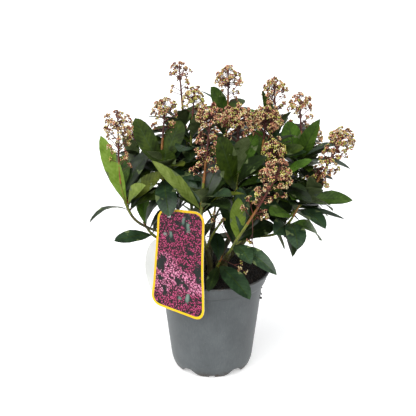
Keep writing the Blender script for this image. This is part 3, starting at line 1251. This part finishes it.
# How often each tint is dealt out in a head, in the order above.
HEAD_TINTS = {
    "left_front": (2, 4, 5, 3, 2),
    "inner_left": (1, 2, 4, 7, 1),
    "inner_right": (1, 2, 4, 7, 1),
    "right_outer": (3, 3, 4, 5, 1),
    "right_front": (6, 3, 5, 2, 1),
    "tall_left": (2, 4, 3, 1, 5),
}
USUAL_TINTS = (5, 4, 5, 3, 2)
# Heads that the photograph shows thinner or denser than the rest, by their share of dome branches.
HEAD_FULLNESS = {
    "tall_left": 0.6,
    "left_front": 0.8,
    "centre_front": 1.4,
    "top_back": 1.2,
    "centre": 1.7,
    "centre_right": 1.7,
    "inner_right": 1.4,
    "right_outer": 1.7,
}
# Thin stalks with a few buds away from the heads, in mm and degrees: the shoot, the height up it, the
# bearing, the rise and the length. Then how often each tint is dealt out on them, how long their arms
# are and where the arms stand.
STRAY_STALKS = (
    ("right_front", 56, 0, -84, 34),
    ("right_front", 5, -82, 60, 42),
    ("low_front", 20, 60, -15, 30),
)
STRAY_TINTS = (2, 3, 5, 5, 1)
STRAY_ARM = 7 * MM
STRAY_ARM_SHARES = (0.62, 0.76, 0.9)

Bud = namedtuple("Bud", "place way size tint half")


def bud_material(name, tones):
    """A closed flower bud: waxy sepals, darker in their seams, in one narrow run of tone."""
    noise = {"Scale": 500.0, "Detail": 3.0}
    return mottled(name, tones, (0.35, 0.5, 0.65), noise, roughness=0.5, specular_ior_level=0.3)


stalks = Lines()
buds = []


def grow_arm(draw, start, way, length, count, weights, half):
    """A thin stalk with a few buds on short pedicels round its end."""
    end = start + way * length
    stalks.add([start, end], ARM_RADII, (1, 1))
    tint = draw.choices(range(len(BUD_TINTS)), weights)[0]
    for k in range(count):
        side = sideways(way, k * GOLDEN_TURN + draw.uniform(-0.5, 0.5))
        open_share = 0.15 + 0.85 * math.sqrt((k + 0.3) / count)
        out = (way * (1 - open_share * 0.55) + side * open_share).normalized()
        bud = end + out * PEDICEL * draw.uniform(0.7, 1.25)
        stalks.add([end, bud], PEDICEL_RADII, (1, 1))
        own_tint = draw.choices(range(len(BUD_TINTS)), weights)[0] if draw.random() < 0.4 else tint
        buds.append(Bud(bud, out, BUD_SIZE * draw.uniform(0.72, 1.15), own_tint, half))


def grow_branch(draw, foot, tip, weights, half, arms):
    """A side branch that ends in a knot of arms, with two more arms part way if it is long."""
    along = (tip - foot).normalized()
    length = (tip - foot).length
    stalks.add([foot, tip], BRANCH_RADII, (0, 0))
    for n, share in enumerate(ARM_SHARES if length > LONG_BRANCH else ()):
        side = sideways(along, n * math.pi + draw.uniform(-0.5, 0.5))
        way = (along * 0.8 + side * 0.6).normalized()
        grow_arm(draw, foot.lerp(tip, share), way, ARM * draw.uniform(1.0, 1.6), 3, weights, half)
    for n in range(arms):
        side = sideways(along, n * 2 * math.pi / arms + draw.uniform(-0.3, 0.3))
        way = (along + side * draw.uniform(0.45, 0.95)).normalized()
        grow_arm(draw, tip, way, ARM * draw.uniform(0.7, 1.15), draw.choice((3, 4)), weights, half)


for shoot in SHOOTS:
    if not shoot.head:
        continue
    draw = random.Random(shoot.name + " buds")
    weights = HEAD_TINTS.get(shoot.name, USUAL_TINTS)
    half = 0 if shoot.whorl[0] < 30 else 1
    axis_path = axes[shoot.name]
    for foot, tip in kept_branches[shoot.name]:
        drawn_in = tip - (tip - foot).normalized() * KNOT_REACH
        grow_branch(draw, foot, drawn_in, weights, half, 4)
    total = path_length(axis_path)
    radius = shoot.spread * MM * DOME_SHARE
    top, along = along_path(axis_path, 1 - KNOT_REACH / total)
    count = round(DOME_BRANCHES * HEAD_FULLNESS.get(shoot.name, 1.0))
    for k in range(count):
        polar = math.acos(1 - 1.25 * (k + 0.5) / count)
        out = leaning(along, k * GOLDEN_TURN + draw.uniform(-0.2, 0.2), polar)
        tip = top - along * radius + out * radius * draw.uniform(0.86, 1.08)
        down = KNOT_REACH + radius * (0.5 + 0.45 * polar)
        foot, _ = along_path(axis_path, 1 - down / total)
        grow_branch(draw, foot, tip, weights, half, 3)
    draw = random.Random(shoot.name + " lower")
    count = round(LOWER_BRANCHES * HEAD_FULLNESS.get(shoot.name, 1.0) * shoot.head / USUAL_HEAD)
    for k in range(count):
        share = 0.1 + 0.7 * (k + 0.5) / count
        foot, along = along_path(axis_path, 1 - shoot.head * MM / total * (1 - share))
        turn = k * GOLDEN_TURN + draw.uniform(-0.3, 0.3)
        way = leaning(along, turn, math.radians(draw.uniform(42, 60)))
        tip = foot + way * (shoot.spread * MM * draw.uniform(0.6, 1.0) - KNOT_REACH)
        if space.is_free(*test_box(tip, 2 * MM), (shoot.name, shoot.name + " stalks")):
            grow_branch(draw, foot, tip, weights, half, 3)
for name, height, bearing, rise, length in STRAY_STALKS:
    draw = random.Random(f"{name} {height}")
    foot, _ = along_path(axes[name], height * MM / path_length(axes[name]))
    way = heading(bearing, rise)
    stalks.add([foot, foot + way * length * MM], STRAY_RADII, (0, 0))
    for k, share in enumerate(STRAY_ARM_SHARES):
        out = (way + sideways(way, k * 2.1) * (0.9 if share < 0.9 else 0.2)).normalized()
        start = foot + way * length * share * MM
        grow_branch(draw, start, start + out * STRAY_ARM, STRAY_TINTS, 0, 3)

stalklet = rind("pink_brown_stalklet", ("#5a2a20", "#7d4434", "#9c6a4a"), 0.55, 0.1)
stalk_tree = tube_tree("Flower stalks", [limb_materials[3], stalklet])
branches = stalks.to_object("flower_stalks")
grow(branches, stalk_tree, {"Sides": 3, "Ridge height": 0.0, "Ridge scale": 1.0})
fit(branches, "foliage")

bud_points, bud_faces = turned([(0, -1.0), (0.70, -0.60), (0.90, 0.15), (0.55, 0.80), (0, 0.98)], 5)
bud_shape = mesh_object("bud", bud_points, bud_faces)
bud_shape.data.shade_smooth()
# The two lowest rings of five faces are the calyx.
store(bud_shape, "calyx", "INT", [int(i < 10) for i in range(len(bud_faces))], "FACE")
tree, inputs = new_tree("Buds", [("Bud", "Object")])
info = node(tree, "GeometryNodeObjectInfo", {0: inputs["Bud"]}).outputs["Geometry"]
way = node(tree, "GeometryNodeInputNamedAttribute", {"Name": "way"}, data_type="FLOAT_VECTOR")
size = node(tree, "GeometryNodeInputNamedAttribute", {"Name": "size"}, data_type="FLOAT")
turn = node(tree, "FunctionNodeAlignRotationToVector", {"Vector": way}, axis="Z")
shape = node(tree, "GeometryNodeInstanceOnPoints",
             {"Points": inputs[0], "Instance": info, "Rotation": turn, "Scale": size})
shape = node(tree, "GeometryNodeRealizeInstances", {0: shape})
shape = dress(tree, shape, "tint", [bud_material(f"bud_{name}", BUD_COLOURS[name]) for name in BUD_TINTS])
calyx_material = bud_material("bud_calyx", ("#3f1a14", "#622c22", "#854837"))
close_tree(tree, dress(tree, shape, "calyx", [calyx_material], first=1))
for half, name in enumerate(("flower_buds_left", "flower_buds_right")):
    members = [bud for bud in buds if bud.half == half]
    cloud = mesh_object(name, [bud.place for bud in members], [])
    store(cloud, "way", "FLOAT_VECTOR", [bud.way for bud in members])
    store(cloud, "size", "FLOAT", [bud.size for bud in members])
    store(cloud, "tint", "INT", [bud.tint for bud in members])
    grow(cloud, tree, {"Bud": bud_shape})
    fit(cloud, "foliage")
bpy.data.objects.remove(bud_shape)

# The label. A printed plastic card folded over a strap, whose eyelet goes round a bough and whose foot
# leans on the pot's collar. The print is glossy, and the pale rear half bows out past the left edge.
# It is hung on last, when the plant is grown.
LABEL_TURN = math.radians(31)
LABEL_TOP_EDGES = (-35 * MM, 31 * MM)
LABEL_FOOT_EDGES = (-42 * MM, 37 * MM)
LABEL_TOP = (227 * MM, 232 * MM)
LABEL_FOOT = (105 * MM, 97.5 * MM)
LABEL_THICKNESS = 0.8 * MM
LABEL_CORNER = 14 * MM
LABEL_BORDER = 3.0 * MM
LABEL_STRAP_WIDTH = 8 * MM
FLAP_MIDDLE = 152 * MM
FLAP_HALF_HEIGHT = 36 * MM
FLAP_REACH = 53 * MM
FLAP_BULGE = 20 * MM
FLAP_TUCK = 28 * MM
FLAP_STEPS = 18
CARD_COLUMNS = 9
CARD_ROWS = 25
PRINT_SPAN = 140 * MM
# How far the card stands off the rim, how far its foot swings out and how far its head leans in.
LABEL_CLEAR = 0.7 * MM
LABEL_FOOT_SWING = 4 * MM
LABEL_HEAD_LEAN = 7 * MM
# The strap hangs from this bough, at a share of its length. It leaves the fold below the card's top and
# left of its middle, stands up straight for a while and then bends to the bough.
STRAP_BOUGH = "left_mid"
STRAP_PLACE = 0.62
STRAP_DROP = 9 * MM
STRAP_LEFT = 16 * MM
STRAP_STAND = 12 * MM
STRAP_BEND = 7 * MM
EYELET_HOLE = 3.4 * MM
EYELET_RIM = 6.5 * MM
EYELET_SIDES = 32


def smooth(share):
    """An eased step from 0 to 1."""
    share = min(1.0, max(0.0, share))
    return share * share * (3 - 2 * share)


label_out = Vector((-math.sin(LABEL_TURN), -math.cos(LABEL_TURN), 0))
label_across = Vector((math.cos(LABEL_TURN), -math.sin(LABEL_TURN), 0))


def label_lean(height):
    """How far out from the pot's axis the card stands at a height: its foot swings outwards."""
    rest = POT_RIM_RADIUS + LABEL_CLEAR
    if height < POT_HEIGHT:
        return rest + LABEL_FOOT_SWING * (POT_HEIGHT - height) / (POT_HEIGHT - LABEL_FOOT[1])
    return rest - LABEL_HEAD_LEAN * smooth((height - POT_HEIGHT) / (LABEL_TOP[1] - POT_HEIGHT) / 1.1)


def card_row(share, inset):
    """The left and right ends, (across, height), of one line of the card, drawn in by an inset."""
    tall = LABEL_TOP[1] - LABEL_FOOT[1]
    share = (inset + (tall - 2 * inset) * share) / tall
    flare = (1 - share) ** 2
    left = LABEL_TOP_EDGES[0] + (LABEL_FOOT_EDGES[0] - LABEL_TOP_EDGES[0]) * flare
    right = LABEL_TOP_EDGES[1] + (LABEL_FOOT_EDGES[1] - LABEL_TOP_EDGES[1]) * flare
    radius = LABEL_CORNER - inset
    from_end = min(share, 1 - share) * tall - inset
    cut = max(0.0, radius - from_end) / radius
    drawn = inset + radius * (1 - math.sqrt(max(0.0, 1 - cut * cut)))
    heights = [LABEL_FOOT[i] + (LABEL_TOP[i] - LABEL_FOOT[i]) * share for i in (0, 1)]
    slope = (heights[1] - heights[0]) / (right - left)
    return (left + drawn, heights[0] + slope * drawn), (right - drawn, heights[1] - slope * drawn)


def on_card(across, height, proud):
    """The place of a point of the card, raised off its back."""
    return label_out * (label_lean(height) + proud) + label_across * across + UP * height


def card_shares(count):
    """Shares up the card, closer together in the rounded corners."""
    return [0.5 - 0.5 * math.cos(math.pi * k / (count - 1)) for k in range(count)]


def printed_card():
    """Four-colour print under gloss varnish on polypropylene. A made-up picture of blossom: clumps of
    pink florets with dark gaps and grey-green leaves, and a pale band across the card's lower part."""
    material, tree, shader = new_material("gloss_printed_card")
    place = node(tree, "ShaderNodeUVMap", uv_map="card")
    florets = node(tree, "ShaderNodeTexVoronoi", {"Vector": place, "Scale": 78.0}, feature="F1")
    distance = florets.outputs["Distance"]
    petals = node(tree, "ShaderNodeValToRGB", {"Fac": distance},
                  stops=[(0.0, "#e792b4"), (0.24, "#c64474"), (0.42, "#8a2850"), (0.56, "#170910")])
    pale = node(tree, "ShaderNodeValToRGB", {"Fac": distance},
                stops=[(0.0, "#f9dfe9"), (0.3, "#e495b4"), (0.5, "#ac4773"), (0.66, "#2a101b")])
    band = node(tree, "ShaderNodeTexNoise", {"Vector": place, "Scale": 3.4, "Detail": 4.0})
    height = node(tree, "ShaderNodeSeparateXYZ", {0: place}).outputs["Y"]
    wander = node(tree, "ShaderNodeMath", {0: band, 1: 0.7, 2: height}, operation="MULTIPLY_ADD")
    strip = node(tree, "ShaderNodeMapRange", {0: wander, 1: 0.86, 2: 0.74})
    above = node(tree, "ShaderNodeMapRange", {0: wander, 1: 0.50, 2: 0.60})
    strip = node(tree, "ShaderNodeMath", {0: strip, 1: above}, operation="MULTIPLY")
    bloom = node(tree, "ShaderNodeMix", {0: strip, 6: petals, 7: pale}, data_type="RGBA")
    clumps = node(tree, "ShaderNodeTexNoise",
                  {"Vector": place, "Scale": 8.0, "Detail": 5.0, "Roughness": 0.65})
    clump = node(tree, "ShaderNodeMapRange", {0: clumps, 1: 0.43, 2: 0.465})
    leaf_way = node(tree, "ShaderNodeMapping",
                    {"Vector": place, "Rotation": (0, 0, 0.7), "Scale": (13.0, 5.5, 1.0)})
    leaf_cells = node(tree, "ShaderNodeTexVoronoi", {"Vector": leaf_way, "Scale": 1.0}, feature="F1")
    leaves = node(tree, "ShaderNodeValToRGB", {"Fac": leaf_cells.outputs["Distance"]},
                  stops=[(0.0, "#93a79c"), (0.27, "#5b7166"), (0.36, "#171d1b"), (0.6, "#0b0d0e")])
    picture = node(tree, "ShaderNodeMix", {0: clump, 6: leaves, 7: bloom}, data_type="RGBA")
    set_up(shader, base_color=picture, roughness=0.4, ior=1.49, specular_ior_level=0.25, coat_weight=0.05,
           coat_roughness=0.12)
    return material


def plain_plastic(name, tones, roughness):
    """Smooth polypropylene sheet: an even colour with the faint cloudiness of rolled film."""
    noise = {"Scale": 60.0, "Detail": 3.0}
    return mottled(name, tones, (0.3, 0.7), noise, roughness=roughness, ior=1.49)


card_materials = [
    printed_card(),
    plain_plastic("yellow_printed_border", ("#f2c200", "#f8d010"), 0.3),
    plain_plastic("white_film_back", ("#d6d7d3", "#e2e3df"), 0.42),
]
points, faces, kinds = [], [], []
inner = [card_row(share, LABEL_BORDER) for share in card_shares(CARD_ROWS)]
outer = [card_row(share, 0.0) for share in card_shares(CARD_ROWS)]
grid = {}


def card_point(key, across, height, proud):
    """Adds a point of the card under a key, once."""
    if key not in grid:
        grid[key] = len(points)
        points.append(on_card(across, height, proud))


def quad(kind, *corners):
    """A face of the label between points told by key or number: printed, border or plain white for a
    kind of 0, 1 or 2."""
    faces.append([grid.get(corner, corner) for corner in corners])
    kinds.append(kind)


def sweep(rings, closed=False):
    """Joins rings of four points into a tube of the white film."""
    first = len(points)
    for ring in rings:
        points.extend(ring)
    for i in range(len(rings) if closed else len(rings) - 1):
        here, there = first + 4 * i, first + 4 * ((i + 1) % len(rings))
        for k in range(4):
            n = (k + 1) % 4
            quad(2, here + k, here + n, there + n, there + k)


def across_row(ends, share):
    """Where a share of the way across one line of the card is."""
    (left, low), (right, high) = ends
    return left + (right - left) * share, low + (high - low) * share


last_row, last_column = CARD_ROWS - 1, CARD_COLUMNS - 1
for i in range(CARD_ROWS):
    for j in range(CARD_COLUMNS):
        card_point(("print", i, j), *across_row(inner[i], j / last_column), LABEL_THICKNESS)
        card_point(("back", i, j), *across_row(outer[i], j / last_column), 0.0)
    card_point(("left", i), *outer[i][0], LABEL_THICKNESS)
    card_point(("right", i), *outer[i][1], LABEL_THICKNESS)
for j in range(CARD_COLUMNS):
    share = j / last_column
    card_point(("foot", j), *across_row(outer[0], share), LABEL_THICKNESS)
    card_point(("head", j), *across_row(outer[last_row], share), LABEL_THICKNESS)
grid[("foot", 0)], grid[("foot", last_column)] = grid[("left", 0)], grid[("right", 0)]
grid[("head", 0)], grid[("head", last_column)] = grid[("left", last_row)], grid[("right", last_row)]
for i in range(last_row):
    for j in range(last_column):
        quad(0, *[("print", a, b) for a, b in ((i, j), (i, j + 1), (i + 1, j + 1), (i + 1, j))])
        quad(2, *[("back", a, b) for a, b in ((i, j), (i + 1, j), (i + 1, j + 1), (i, j + 1))])
    quad(1, ("left", i), ("print", i, 0), ("print", i + 1, 0), ("left", i + 1))
    quad(1, ("print", i, last_column), ("right", i), ("right", i + 1), ("print", i + 1, last_column))
    quad(2, ("back", i, 0), ("left", i), ("left", i + 1), ("back", i + 1, 0))
    quad(2, ("right", i), ("back", i, last_column), ("back", i + 1, last_column), ("right", i + 1))
for j in range(last_column):
    quad(1, ("foot", j), ("foot", j + 1), ("print", 0, j + 1), ("print", 0, j))
    quad(1, ("print", last_row, j), ("print", last_row, j + 1), ("head", j + 1), ("head", j))
    quad(2, ("back", 0, j), ("back", 0, j + 1), ("foot", j + 1), ("foot", j))
    quad(2, ("head", j), ("head", j + 1), ("back", last_row, j + 1), ("back", last_row, j))


def flap_row(share):
    """The outer and inner end of one line of the bowed rear flap."""
    angle = math.pi * (share - 0.5) * 0.94
    height = FLAP_MIDDLE + FLAP_HALF_HEIGHT * math.sin(angle)
    back = label_out * (label_lean(height) - 0.5 * MM) + UP * height
    reach = FLAP_REACH - FLAP_BULGE * (1 - math.cos(angle))
    far = back - label_across * reach - label_out * 1.5 * MM * math.cos(angle)
    return far, back - label_across * (FLAP_REACH - FLAP_TUCK)


first = len(points)
rings = []
proud = label_out * LABEL_THICKNESS
for i in range(FLAP_STEPS):
    far, near = flap_row(i / (FLAP_STEPS - 1))
    rings.append((far, far + proud, near + proud, near))
sweep(rings)
last = len(points) - 4
quad(2, first, first + 3, first + 2, first + 1)
quad(2, last + 1, last + 2, last + 3, last)

hold, hold_direction = along_path(bough_paths[STRAP_BOUGH], STRAP_PLACE)
root_height = LABEL_TOP[0] - STRAP_DROP
root = on_card(-STRAP_LEFT, root_height, 0.2 * MM)
start = root + UP * STRAP_STAND
inward = (hold - start).normalized()
end = hold - inward * (EYELET_HOLE + 1.5 * MM)
bend = start + UP * STRAP_BEND
strap_path = [root, root.lerp(start, 0.5)] + [bezier(start, bend, bend, end, k / 9) for k in range(10)]
flat_way = inward.cross(UP).normalized()
rings = []
for i, centre in enumerate(strap_path):
    along = along_path(strap_path, i / (len(strap_path) - 1))[1]
    thick = flat_way.cross(along).normalized() * LABEL_THICKNESS / 2
    wide = flat_way * LABEL_STRAP_WIDTH / 2
    near, far = centre - thick, centre + thick
    rings.append((near - wide, near + wide, far + wide, far - wide))
sweep(rings)
half = LABEL_THICKNESS * 0.8
section = ((EYELET_HOLE, half), (EYELET_RIM, half), (EYELET_RIM, -half), (EYELET_HOLE, -half))
turn = UP.rotation_difference(hold_direction).to_matrix()
rings = []
for k in range(EYELET_SIDES):
    angle = 2 * math.pi * k / EYELET_SIDES
    out = Vector((math.sin(angle), -math.cos(angle), 0))
    rings.append([hold + turn @ (out * radius + UP * height) for radius, height in section])
sweep(rings, closed=True)
label = mesh_object("label_card", points, faces, card_materials)
label.data.polygons.foreach_set("material_index", kinds)
uv = label.data.uv_layers.new(name="card")
for loop in label.data.loops:
    point = points[loop.vertex_index]
    across, rise = point.dot(label_across) / PRINT_SPAN, (point.z - LABEL_FOOT[1]) / PRINT_SPAN
    uv.data[loop.index].uv = (across + 0.5, rise)
fit(label, "label_plastic", "label")

# The stage: a pale floor, a soft sky that is white at the horizon, a broad key light from the upper
# left and a weak fill from the right, and a camera at the photograph's angle.
CAMERA_AIM = Vector((-5.2, 0.0, 213.6)) * MM
CAMERA_DISTANCE = 950 * MM
CAMERA_ELEVATION = math.radians(17.4)
FOCAL_LENGTH = 65.18
SENSOR = 36.0
FLOOR_HALF = 30.0
CLIP_NEAR = 0.05
CLIP_FAR = 100.0

glow = {"emission_color": linear("#ffffff"), "emission_strength": 0.35}
floor_material = mottled("matt_white_sheet", ("#f6f6f5", "#fafaf9"), (0.0, 1.0), {"Scale": 3.0},
                         roughness=0.9, specular_ior_level=0.1, **glow)
corners = [(x * FLOOR_HALF, y * FLOOR_HALF, 0) for x, y in ((-1, -1), (1, -1), (1, 1), (-1, 1))]
floor = mesh_object("floor", corners, [(0, 1, 2, 3)], [floor_material])
floor.visible_diffuse = False

world = bpy.data.worlds.new("studio")
world.use_nodes = True
bpy.context.scene.world = world
tree = world.node_tree
direction = node(tree, "ShaderNodeTexCoord").outputs["Generated"]
height = node(tree, "ShaderNodeSeparateXYZ", {0: direction}).outputs["Z"]
sky = node(tree, "ShaderNodeValToRGB", {"Fac": height},
           stops=[(0.0, "#8a8a88"), (0.03, "#f2f3f4"), (0.5, "#c4c5c8"), (1.0, "#bfc0c3")])
background = tree.nodes["Background"]
tree.links.new(sky.outputs[0], background.inputs["Color"])
background.inputs["Strength"].default_value = 1.0


def add_light(name, kind, aim_from, energy, **settings):
    """A lamp that looks at the middle of the picture."""
    light = bpy.data.lights.new(name, kind)
    light.energy = energy
    for setting, value in settings.items():
        setattr(light, setting, value)
    obj = bpy.data.objects.new(name, light)
    bpy.context.scene.collection.objects.link(obj)
    obj.location = aim_from
    obj.rotation_euler = (CAMERA_AIM - aim_from).to_track_quat("-Z", "Y").to_euler()


add_light("key", "SUN", Vector((-1.0, -1.9, 2.2)), 3.2, angle=math.radians(85))
add_light("fill", "AREA", Vector((1.6, -1.4, 1.2)), 6.0, shape="DISK", size=1.2)

camera = bpy.data.objects.new("camera", bpy.data.cameras.new("camera"))
bpy.context.scene.collection.objects.link(camera)
toward_camera = Vector((0, -math.cos(CAMERA_ELEVATION), math.sin(CAMERA_ELEVATION)))
camera.location = CAMERA_AIM + toward_camera * CAMERA_DISTANCE
camera.rotation_euler = (-toward_camera).to_track_quat("-Z", "Y").to_euler()
camera.data.lens = FOCAL_LENGTH
camera.data.sensor_width = SENSOR
camera.data.clip_start = CLIP_NEAR
camera.data.clip_end = CLIP_FAR
bpy.context.scene.camera = camera
bpy.context.scene.view_settings.view_transform = "Standard"
